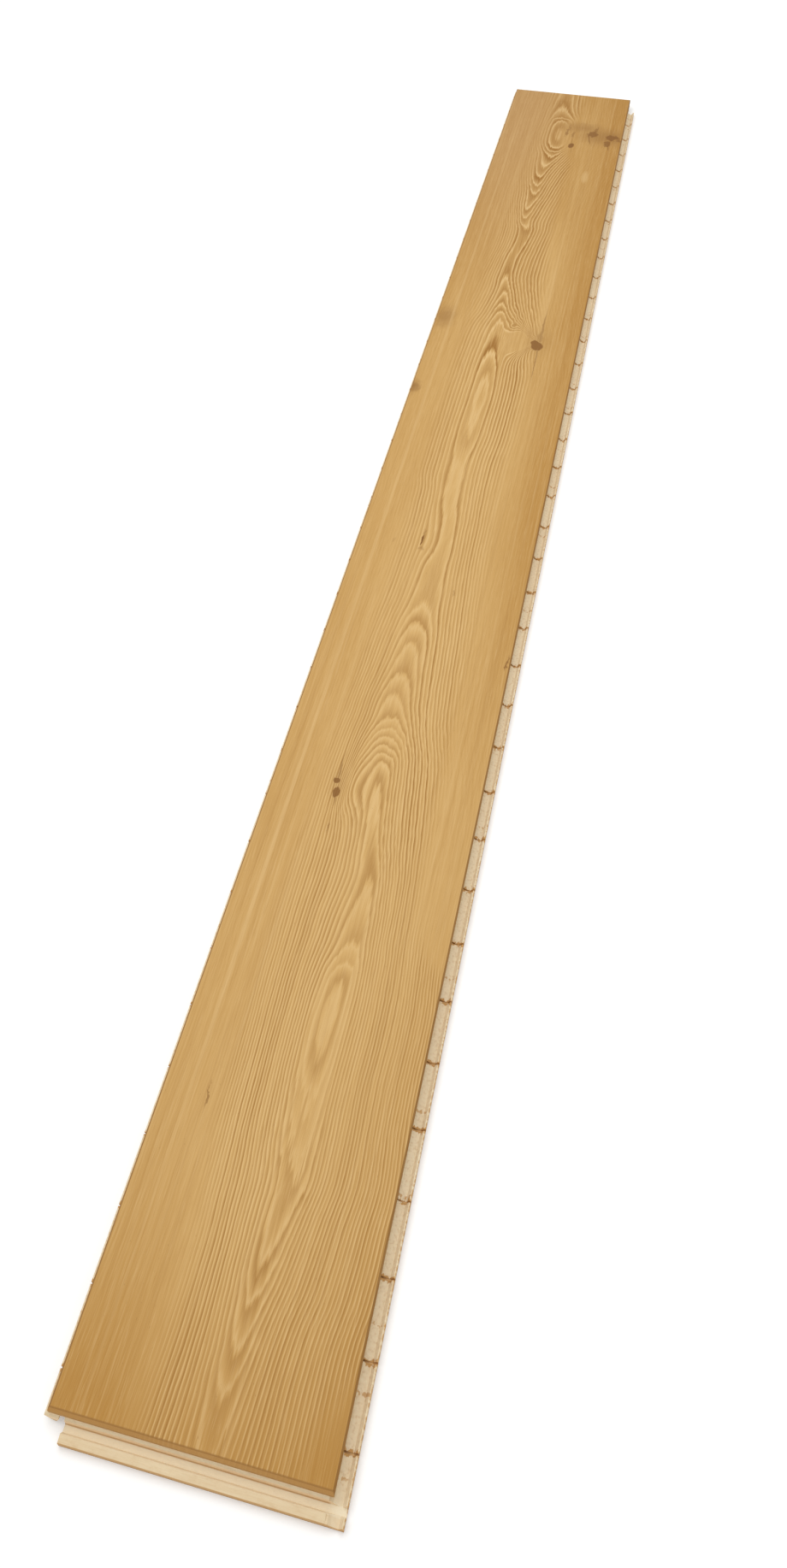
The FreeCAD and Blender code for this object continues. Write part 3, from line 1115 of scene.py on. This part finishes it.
@dataclass(frozen=True)
class CoreWood:
    """Bare planed softwood slats, each of its own shade, with the grain across the board.

    The places of the lips' rims, of the front channel and of its foot are in board millimetres.
    """

    gap_place: float
    pitch: float
    name: str = "bare_core_slats"
    pale: Color = tone(237, 222, 190)
    warm: Color = tone(227, 205, 166)
    late: Color = tone(204, 172, 128)
    end_grain: Color = tone(228, 208, 176)
    # Painted light: a paler tone that lifts the shade on low faces and on faces turned back.
    painted_recess_light: Color = tone(236, 219, 188)
    # Painted light: a paler, warmer tone on faces that look to the front.
    painted_front_light: Color = tone(250, 218, 176)
    # Painted light: a pale tone for the front channel's floor.
    channel: Color = tone(244, 233, 205)
    torn: Color = tone(190, 140, 74)
    roughness: float = 0.72
    relief: float = 0.12 * MM
    warm_share: float = 0.75
    ring_onset: float = 0.25
    ring_fade: float = 0.95
    late_share: float = 0.3
    late_relief: float = -0.4
    fibre: Fibre = Fibre(0.5, 14.0, 2.0)
    fibre_dulling: float = 0.12
    dark_fibre: Wash = Wash(0.45, 0.85, 0.45, late)
    pale_fibre: Wash = Wash(0.5, 0.2, 0.4, pale)
    blotch: Cloud = Cloud(0.16, 0.22, 3.0, 3.0)
    dark_blotch: Wash = Wash(0.52, 0.78, 0.4, late)
    fleck: Cloud = Cloud(0.55, 0.42, 8.0)
    dark_fleck: Wash = Wash(0.5, 0.7, 0.42, late)
    pale_fleck: Wash = Wash(0.46, 0.3, 0.55, pale)
    fleck_rise: Ramp = (0.0, 8.0, 0.15, 1.0)
    crosscut: Wash = Wash(0.7, 0.98, 0.8, end_grain)
    # Painted light on faces that look to the front.
    front_face_light: Wash = Wash(-0.6, -0.95, 0.75, painted_front_light)
    # Painted light on low, sheltered faces and on faces turned back.
    recess_light_height: Ramp = (6.0, 3.0, 0.0, 0.6)
    turned_light_tilt: Ramp = (0.3, 0.8, 0.0, 0.9)
    channel_run: Band = (-8.2, -7.4, -2.2, -1.6)
    channel_tilt: Point = (-0.5, -0.2)
    # Painted light on the front channel's floor.
    channel_floor_light: Wash = Wash(6.6, 6.2, 0.5, channel)
    hook_top: Wash = Wash(-6.0, -7.0, 0.16, late)
    front_rim: Ramp = (-12.3, -12.8, 0.0, 0.75)
    side_rim: Point = (188.2, 188.7)
    rim_flecks: Ramp = (0.42, 0.56, 0.1, 0.8)
    # Painted shade: a brown line along the foot of the front channel.
    foot_shade_run: Band = (-2.7, -2.3, 2.0, 3.0)
    foot_shade_height: Ramp = (4.6, 3.4, 0.0, 0.65)
    foot_shade_end: Point = (179.0, 177.0)
    ring_width: float = 1.9
    pith_depth: float = 14.0
    pith_shift: float = 30.0
    ring_bend: Cloud = Cloud(0.02, 0.02)
    bend_reach: float = 5.0
    fray: Cloud = Cloud(0.5, 0.25, 6.0, 3.0)
    gap_fray: Ramp = (0.3, 0.75, 0.5, 4.0)
    gap_edge: Ramp = (0.0, 0.9, 0.0, 0.9)
    extra_fray: Ramp = (0.38, 0.7, -0.2, 2.6)
    extra_edge: Ramp = (0.0, 1.2, 0.0, 0.7)
    share_unmarked: float = 0.4
    shade_seed: float = 0.5
    extra_seed: float = 0.25
    luck_seed: float = 0.75

    def build(self, effects: Effects) -> bpy.types.Material:
        """Build the material.

        Args:
            effects: The shared node groups.

        Returns:
            The material.
        """
        material, graph, shader = new_material(self.name)
        spot = Spot.find(graph, effects)
        turn = graph.math("DIVIDE", graph.less(spot.along, self.gap_place), self.pitch)
        number = graph.math("FLOOR", turn)
        lot = graph.random(graph.total(number, self.shade_seed))
        color = graph.mix(graph.product(lot, self.warm_share), self.pale, self.warm)
        count = self.ring_count(graph, number, spot)
        rings = graph.group(effects.rings, Count=count, Onset=self.ring_onset, Fade=self.ring_fade)
        late = rings.outputs["Late"]
        color = graph.mix(graph.product(late, self.late_share), color, self.late)
        fine = self.fibre.draw(graph, effects, spot.along, spot.across, spot.up)
        for wash in (self.dark_fibre, self.pale_fibre):
            color = graph.wash(color, fine, wash)
        color = graph.wash(color, self.blotch.draw(graph, spot), self.dark_blotch)
        color = self.faces(graph, color, spot)
        fleck = self.fleck.draw(graph, spot)
        flecked = graph.ramp(spot.along, *self.fleck_rise)
        for wash in (self.dark_fleck, self.pale_fleck):
            color = graph.wash(color, fleck, wash, flecked)
        color = graph.wash(color, spot.along, self.hook_top)
        # Lay the rims' stain and the painted shade at the channel's foot in the torn tone.
        color = graph.mix(self.rims(graph, spot, fleck), color, self.torn)
        color = graph.mix(self.torn_edge(graph, turn, number, spot), color, self.torn)
        graph.feed(shader.inputs["Base Color"], color)
        dull = graph.total(self.roughness, graph.product(fine, self.fibre_dulling))
        graph.feed(shader.inputs["Roughness"], dull)
        height = graph.total(fine, graph.product(late, self.late_relief), fleck)
        add_bump(graph, shader, height, self.relief)
        return material

    def faces(self, graph: Graph, color: Socket, spot: Spot) -> Socket:
        """Tint the cut ends, and paint light on the front faces, the low sheltered faces, the faces
        turned back and the front channel's floor.

        Args:
            graph: The material's graph.
            color: The colour of the wood.
            spot: The point's place.

        Returns:
            The colour socket.
        """
        side, end, _ = graph.split(graph.add("NewGeometry").outputs["True Normal"])
        color = graph.wash(color, graph.math("ABSOLUTE", side), self.crosscut)
        # Painted light on the front faces.
        color = graph.wash(color, end, self.front_face_light)
        # Painted light: low faces and faces turned back get a paler tone against their shade.
        inner = graph.ramp(spot.up, *self.recess_light_height)
        turned = graph.ramp(end, *self.turned_light_tilt)
        color = graph.mix(graph.math("MAXIMUM", inner, turned), color, self.painted_recess_light)
        # Painted light on the floor of the front channel.
        place = graph.product(graph.band(spot.along, self.channel_run),
                              graph.ramp(end, *self.channel_tilt))
        return graph.wash(color, spot.up, self.channel_floor_light, place)

    def ring_count(self, graph: Graph, number: Socket, spot: Spot) -> Socket:
        """Count the rings of a slat, whose pith lies somewhere under it.

        Args:
            graph: The material's graph.
            number: The slat's number.
            spot: The point's place.

        Returns:
            The ring count socket.
        """
        middle = graph.product(graph.total(number, 0.5), self.pitch)
        shift = graph.sway(graph.random(number), self.pith_shift)
        bend = graph.sway(self.ring_bend.draw(graph, spot), self.bend_reach)
        away = graph.total(graph.less(spot.along, middle), shift, bend)
        deep = graph.total(spot.up, self.pith_depth)
        square = graph.math("MULTIPLY_ADD", away, away, graph.product(deep, deep))
        return graph.math("DIVIDE", graph.math("SQRT", square), self.ring_width)

    def rims(self, graph: Graph, spot: Spot, fleck: Socket) -> Socket:
        """Stain the lips' rims, as their cut edges are, and paint shade along the foot of the front
        channel.

        Args:
            graph: The material's graph.
            spot: The point's place.
            fleck: The flecks, which break up the side rim.

        Returns:
            The stain's socket, from 0 to 1.
        """
        front = graph.ramp(spot.along, *self.front_rim)
        side = graph.product(graph.ramp(spot.across, *self.side_rim),
                             graph.ramp(fleck, *self.rim_flecks))
        # Painted shade in the corner at the channel's foot.
        foot = graph.product(graph.band(spot.along, self.foot_shade_run),
                             graph.ramp(spot.up, *self.foot_shade_height),
                             graph.ramp(spot.across, *self.foot_shade_end))
        return graph.math("MAXIMUM", front, graph.math("MAXIMUM", side, foot))

    def torn_edge(self, graph: Graph, turn: Socket, number: Socket, spot: Spot) -> Socket:
        """Stain the torn fibres beside each gap, and at one more place on some slats.

        Args:
            graph: The material's graph.
            turn: The place along the board in slats.
            number: The slat's number.
            spot: The point's place.

        Returns:
            The stain's socket, from 0 to 1.
        """
        phase = graph.math("FRACT", turn)
        near = graph.math("MINIMUM", phase, graph.less(1.0, phase))
        fray = self.fray.draw(graph, spot)
        beside = graph.less(graph.ramp(fray, *self.gap_fray), graph.product(near, self.pitch))
        away = graph.apart(phase, graph.random(graph.total(number, self.extra_seed)))
        extra = graph.less(graph.ramp(fray, *self.extra_fray), graph.product(away, self.pitch))
        lot = graph.random(graph.total(number, self.luck_seed))
        marked = graph.math("GREATER_THAN", lot, self.share_unmarked)
        marks = graph.product(graph.ramp(extra, *self.extra_edge), marked)
        return graph.math("MAXIMUM", graph.ramp(beside, *self.gap_edge), marks)


@dataclass(frozen=True)
class BackingVeneer:
    """Bare sliced veneer with the grain along the board, brown where it is cut across."""

    name: str = "bare_backing_veneer"
    pale: Color = tone(226, 206, 170)
    late: Color = tone(196, 165, 120)
    edge: Color = tone(180, 126, 64)
    glue: Color = tone(216, 176, 122)
    roughness: float = 0.75
    relief: float = 0.08 * MM
    rings_across: float = 0.21
    bend: Cloud = Cloud(0.02, 0.004)
    bend_rings: float = 14.0
    ring_onset: float = 0.3
    ring_fade: float = 0.9
    late_share: float = 0.5
    fibre: Fibre = Fibre(0.6, 30.0, 8.0)
    fibre_dulling: float = 0.1
    dark_fibre: Wash = Wash(0.45, 0.85, 0.5, late)
    cut_rim: Wash = Wash(0.9, 0.5, 0.85, edge)
    glued_face: Wash = Wash(0.5, 0.9, 1.0, glue)

    def build(self, effects: Effects) -> bpy.types.Material:
        """Build the material.

        Args:
            effects: The shared node groups.

        Returns:
            The material.
        """
        material, graph, shader = new_material(self.name)
        spot = Spot.find(graph, effects)
        count = graph.total(graph.product(spot.across, self.rings_across),
                            graph.product(self.bend.draw(graph, spot), self.bend_rings))
        rings = graph.group(effects.rings, Count=count, Onset=self.ring_onset, Fade=self.ring_fade)
        fine = self.fibre.draw(graph, effects, spot.across, spot.along, spot.up)
        late = graph.product(rings.outputs["Late"], self.late_share)
        color = graph.mix(late, self.pale, self.late)
        color = graph.wash(color, fine, self.dark_fibre)
        _, _, face = graph.split(graph.add("NewGeometry").outputs["True Normal"])
        color = graph.wash(color, graph.math("ABSOLUTE", face), self.cut_rim)
        graph.feed(shader.inputs["Base Color"], graph.wash(color, face, self.glued_face))
        dull = graph.total(self.roughness, graph.product(fine, self.fibre_dulling))
        graph.feed(shader.inputs["Roughness"], dull)
        add_bump(graph, shader, fine, self.relief)
        return material


def new_material(name: str) -> tuple[bpy.types.Material, Graph, bpy.types.Node]:
    """Make a material with a plain Principled shader.

    Args:
        name: The material's name.

    Returns:
        The material, its graph and its shader node.
    """
    material = bpy.data.materials.new(name)
    material.use_nodes = True
    shader = material.node_tree.nodes["Principled BSDF"]
    shader.inputs["Specular IOR Level"].default_value = BARE_WOOD_SPECULAR
    return material, Graph(material.node_tree), shader


def add_bump(graph: Graph, shader: bpy.types.Node, height: Socket, distance: float) -> None:
    """Add fine relief from a height between 0 and 1.

    Args:
        graph: The material's graph.
        shader: The shader that takes the normal.
        height: The height socket.
        distance: The relief in metres.
    """
    bump = graph.add("Bump")
    bump.inputs["Distance"].default_value = distance
    graph.feed(bump.inputs["Height"], height)
    graph.feed(shader.inputs["Normal"], bump.outputs["Normal"])


def dress(node: str, material: bpy.types.Material) -> None:
    """Give a CAD node its finish.

    Args:
        node: The node's name.
        material: The finish.
    """
    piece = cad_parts[node]
    if not piece.material_slots:
        piece.data.materials.append(material)
    for slot in piece.material_slots:
        slot.material = material
    log.info("%s dressed", node)


@dataclass
class Lamella:
    """The top layer with its bevelled walking face."""

    board: Board
    effects: Effects
    finish: StainedLamella = StainedLamella()

    def build(self) -> None:
        """Dress the lamella."""
        dress("wear_lamella", self.finish.build(self.effects, self.board))


@dataclass
class Core:
    """The cross-laid slats with their milled tongue, slot and lips."""

    board: Board
    effects: Effects

    def gap(self, before: str, after: str) -> float:
        """Find the middle of the gap between two slats.

        Args:
            before: The slat in front of the gap.
            after: The slat behind it.

        Returns:
            The place along the board, in millimetres.
        """
        _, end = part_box(before)
        start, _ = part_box(after)
        return (end.y + start.y) / 2 / MM - self.board.front

    def build(self) -> None:
        """Dress every slat, with the gap places read from the first three slats' boxes."""
        names = sorted(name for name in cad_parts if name.startswith("core_slat"))
        first, second = self.gap(names[0], names[1]), self.gap(names[1], names[2])
        material = CoreWood(first, second - first).build(self.effects)
        for name in names:
            dress(name, material)


@dataclass
class Backing:
    """The bottom layer under the slats and lips."""

    effects: Effects
    finish: BackingVeneer = BackingVeneer()

    def build(self) -> None:
        """Dress the veneer."""
        dress("backing_veneer", self.finish.build(self.effects))


@dataclass
class Studio:
    """A pale floor and soft light, neither of which is part of the board.

    The floor glows a little where it is seen, and more so far from the board.
    """

    floor_reach: float = 12.0
    floor_tone: Color = tone(236, 236, 235)
    near_lift: float = 0.2
    far_lift: float = 0.5
    lift_range: Point = (1.5, 6.0)
    sky_strength: float = 0.72
    key_energy: float = 30.0
    key_size: float = 2.4
    key_place: Vector = Vector((-0.5, 0.1, 2.3))

    def build(self) -> None:
        """Make the floor, the light and the sky."""
        self.floor()
        self.sky()
        self.key_lamp()
        log.info("studio built")

    def floor(self) -> None:
        """Make the floor, which shows white where nothing shades it."""
        mesh = bpy.data.meshes.new("studio_floor")
        reach = self.floor_reach
        corners = [(-reach, -reach, 0), (reach, -reach, 0), (reach, reach, 0), (-reach, reach, 0)]
        mesh.from_pydata(corners, [], [(0, 1, 2, 3)])
        floor = bpy.data.objects.new("studio_floor", mesh)
        bpy.context.scene.collection.objects.link(floor)
        material, graph, shader = new_material("studio_floor")
        for name, value in (("Base Color", self.floor_tone), ("Roughness", 1.0),
                            ("Specular IOR Level", 0.0), ("Emission Color", WHITE)):
            shader.inputs[name].default_value = value
        path = graph.add("LightPath").outputs
        seen = graph.math("MAXIMUM", path["Is Camera Ray"], path["Is Glossy Ray"])
        seen = graph.math("MAXIMUM", seen, path["Is Transmission Ray"])
        across, along, _ = graph.split(graph.add("NewGeometry").outputs["Position"])
        square = graph.total(graph.product(across, across), graph.product(along, along))
        lift = graph.ramp(graph.math("SQRT", square), *self.lift_range, self.near_lift, self.far_lift)
        graph.feed(shader.inputs["Emission Strength"], graph.product(seen, lift))
        mesh.materials.append(material)

    def sky(self) -> None:
        """Make the sky: soft light all round, and plain white where it is seen."""
        world = bpy.data.worlds.new("studio_sky")
        bpy.context.scene.world = world
        world.use_nodes = True
        graph = Graph(world.node_tree)
        background = world.node_tree.nodes["Background"]
        background.inputs["Color"].default_value = WHITE
        seen = graph.add("LightPath").outputs["Is Camera Ray"]
        strength = graph.ramp(seen, 0.0, 1.0, self.sky_strength, 1.0, smooth=False)
        graph.feed(background.inputs["Strength"], strength)

    def key_lamp(self) -> None:
        """Hang the large soft lamp over the board."""
        lamp = bpy.data.lights.new("key_lamp", "AREA")
        lamp.shape = "SQUARE"
        lamp.size = self.key_size
        lamp.energy = self.key_energy
        holder = bpy.data.objects.new("key_lamp", lamp)
        holder.location = self.key_place
        holder.rotation_euler = (-self.key_place).to_track_quat("-Z", "Y").to_euler()
        bpy.context.scene.collection.objects.link(holder)


@dataclass(frozen=True)
class PhotoCamera:
    """The camera at the photograph's place, as fitted to the board's edges."""

    place: Vector = Vector((0.1587, -1.0329, 0.9564))
    pitch: float = 47.32
    heading: float = 13.93
    roll: float = -0.75
    focal_pixels: float = 1512.2
    centre_pixels: Point = (447.9, 562.3)
    sensor: float = 36.0
    nearest: float = 0.01

    def build(self) -> None:
        """Make the camera and look through it."""
        width, height = IMAGE_SIZE
        data = bpy.data.cameras.new("photo_camera")
        data.sensor_width = self.sensor
        data.lens = self.focal_pixels * self.sensor / height
        data.shift_x = (width / 2 - self.centre_pixels[0]) / height
        data.shift_y = (self.centre_pixels[1] - height / 2) / height
        data.clip_start = self.nearest
        camera = bpy.data.objects.new("photo_camera", data)
        turn = Matrix.Rotation(math.radians(self.heading), 4, "Z")
        turn = turn @ Matrix.Rotation(math.radians(self.pitch), 4, "X")
        turn = turn @ Matrix.Rotation(math.radians(self.roll), 4, "Z")
        camera.matrix_world = Matrix.Translation(self.place) @ turn
        bpy.context.scene.collection.objects.link(camera)
        bpy.context.scene.camera = camera
        log.info("camera placed")


def main() -> None:
    """Dress the board, light it and place the camera."""
    logging.basicConfig(level=logging.INFO)
    bpy.context.scene.view_settings.view_transform = "Standard"
    board = Board.from_frame()
    effects = Effects.build(board)
    PhotoCamera().build()
    Studio().build()
    Lamella(board, effects).build()
    Core(board, effects).build()
    Backing(effects).build()


if __name__ == "__main__":
    main()
